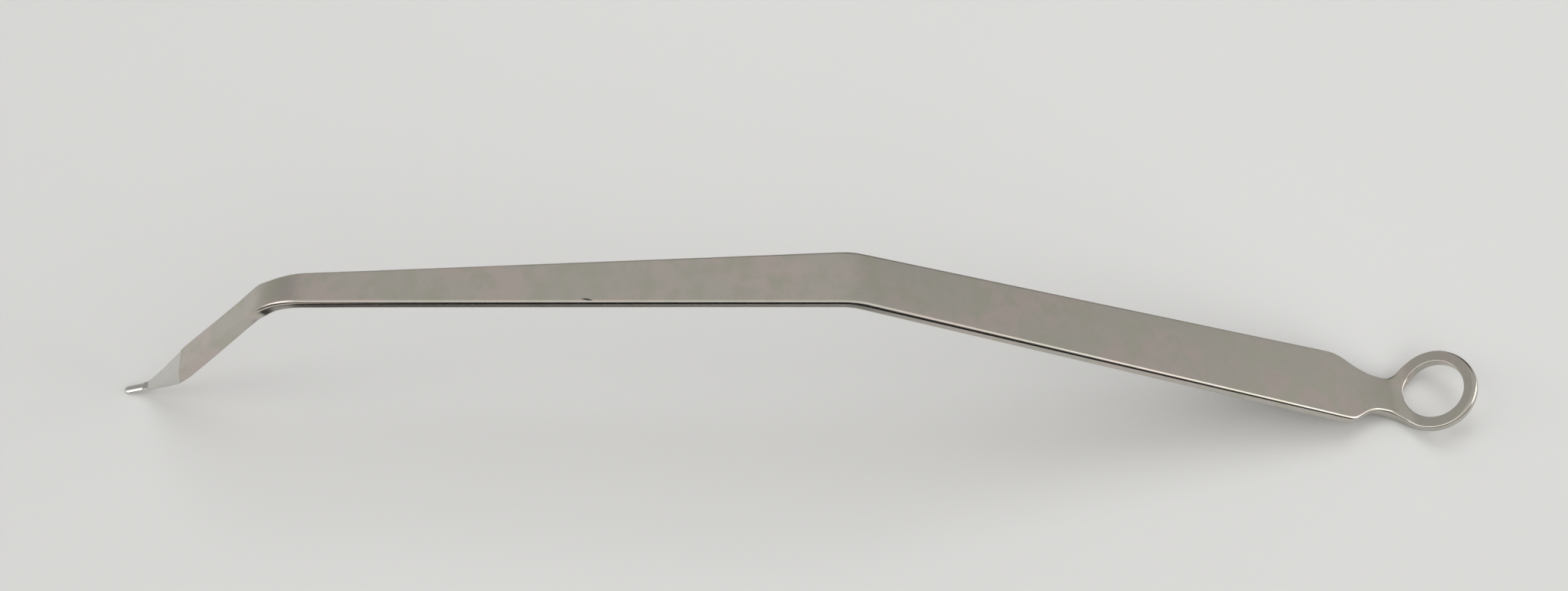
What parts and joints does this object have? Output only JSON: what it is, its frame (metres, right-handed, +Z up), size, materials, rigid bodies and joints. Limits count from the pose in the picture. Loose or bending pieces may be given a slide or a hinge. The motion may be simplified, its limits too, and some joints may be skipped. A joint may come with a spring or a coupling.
{
  "type": "ring-handled bone lever",
  "caption": "Flat steel surgical lever, bent twice, tapering to a small turned-up lip, with a waisted neck and an upturned ring at the handle end.",
  "frame": {"origin": "middle of the footprint's bounding box, on the table that the lever stands on", "axes": "+X along the bar from the lip towards the ring, +Y across the bar, +Z up, with the lever standing like an arch on its lip and on the root of its ring"},
  "size_m": [0.3558, 0.0228, 0.0606],
  "materials": {
    "satin_steel": "satin ground and polished stainless steel"
  },
  "bodies": {
    "root": {"lip": "satin_steel", "point": "satin_steel", "blade": "satin_steel", "front_bend": "satin_steel", "shaft": "satin_steel", "middle_bend": "satin_steel", "handle": "satin_steel", "neck": "satin_steel", "ring": "satin_steel"}
  },
  "joints": []
}
